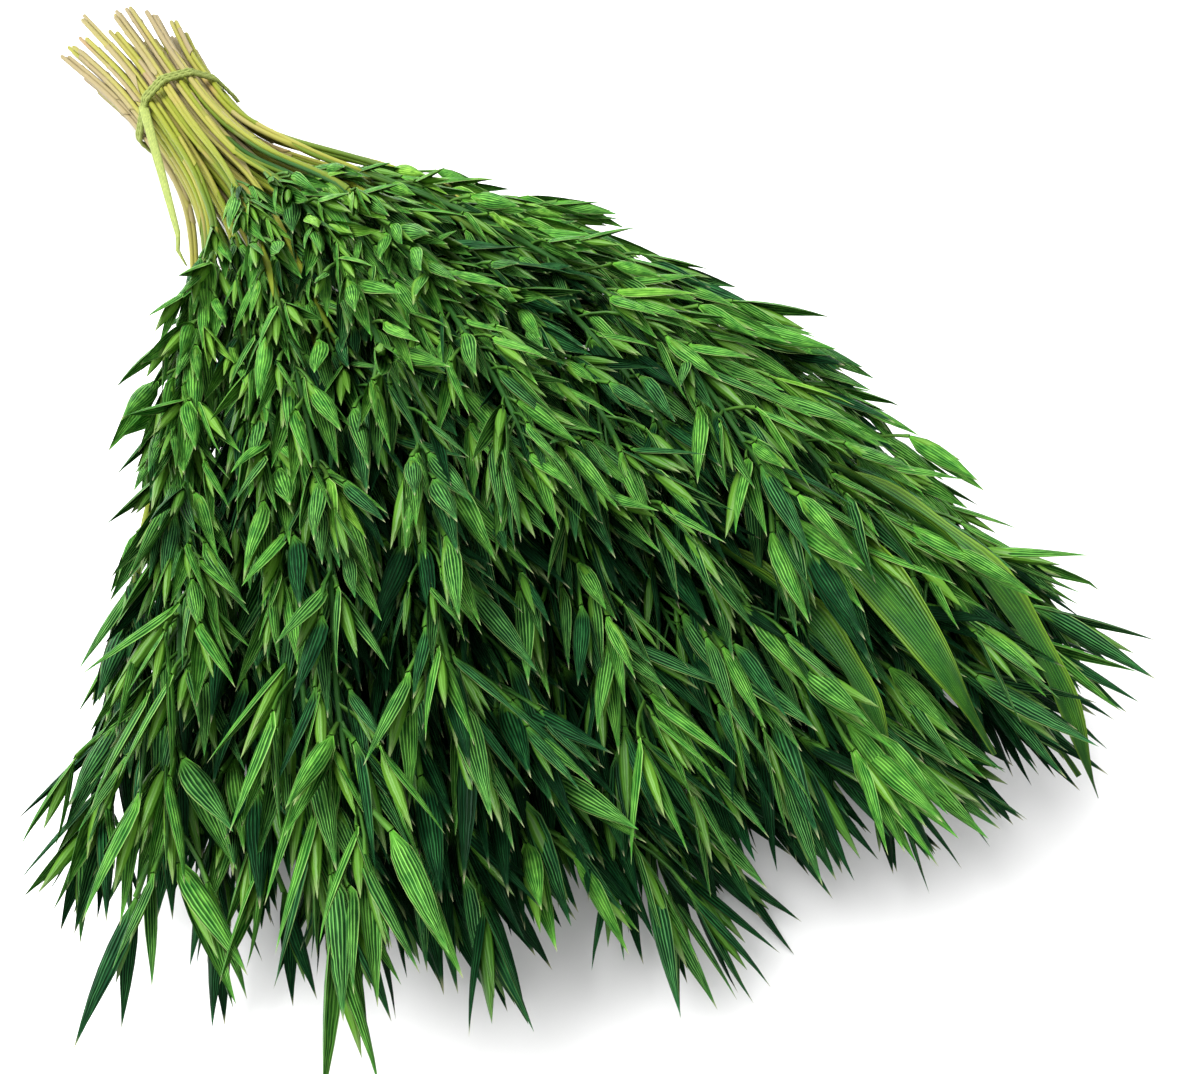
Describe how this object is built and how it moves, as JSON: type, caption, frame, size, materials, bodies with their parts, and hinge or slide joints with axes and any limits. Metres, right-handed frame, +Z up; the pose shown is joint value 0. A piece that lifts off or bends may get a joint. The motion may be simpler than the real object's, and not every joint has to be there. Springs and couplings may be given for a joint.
{
  "type": "dried oats bundle",
  "caption": "Bundle of preserved green oat stems, tied near the cut ends and lying flat, with the heads fanned out.",
  "frame": {"origin": "the middle of the bundle's bounding box, on the surface that it lies on", "axes": "-Y from the tie towards the heads, +X across the bundle, +Z up from the surface"},
  "size_m": [0.273, 0.5702, 0.103],
  "materials": {
    "oat green 1": "dry matt straw and husk",
    "oat green 2": "dry matt straw and husk",
    "oat green 3": "dry matt straw and husk",
    "tie green": "matt plant fibre"
  },
  "bodies": {
    "root": {"oat_stem_01": "oat green 1", "oat_stem_02": "oat green 2", "oat_stem_03": "oat green 3", "oat_stem_04": "oat green 1", "oat_stem_05": "oat green 2", "oat_stem_06": "oat green 3", "oat_stem_07": "oat green 1", "oat_stem_08": "oat green 2", "oat_stem_09": "oat green 3", "oat_stem_10": "oat green 1", "oat_stem_11": "oat green 2", "oat_stem_12": "oat green 3", "oat_stem_13": "oat green 1", "oat_stem_14": "oat green 2", "oat_stem_15": "oat green 3", "oat_stem_16": "oat green 1", "oat_stem_17": "oat green 2", "oat_stem_18": "oat green 3", "oat_stem_19": "oat green 1", "oat_stem_20": "oat green 2", "oat_stem_21": "oat green 3", "oat_stem_22": "oat green 1", "oat_stem_23": "oat green 2", "oat_stem_24": "oat green 3", "oat_stem_25": "oat green 1", "oat_stem_26": "oat green 2", "oat_stem_27": "oat green 3", "oat_stem_28": "oat green 1", "oat_stem_29": "oat green 2", "oat_stem_30": "oat green 3", "oat_stem_31": "oat green 1", "oat_stem_32": "oat green 2", "oat_stem_33": "oat green 3", "oat_stem_34": "oat green 1", "oat_stem_35": "oat green 2", "oat_stem_36": "oat green 3", "oat_stem_37": "oat green 1", "oat_stem_38": "oat green 2", "oat_stem_39": "oat green 3", "oat_stem_40": "oat green 1", "oat_stem_41": "oat green 2", "oat_stem_42": "oat green 3", "oat_stem_43": "oat green 1", "oat_stem_44": "oat green 2", "oat_stem_45": "oat green 3", "oat_stem_46": "oat green 1", "oat_stem_47": "oat green 2", "oat_stem_48": "oat green 3", "oat_stem_49": "oat green 1", "oat_stem_50": "oat green 2", "oat_stem_51": "oat green 3", "oat_stem_52": "oat green 1", "oat_stem_53": "oat green 2", "oat_stem_54": "oat green 3", "oat_stem_55": "oat green 1", "oat_stem_56": "oat green 2", "neck_tie": "tie green"}
  },
  "joints": []
}
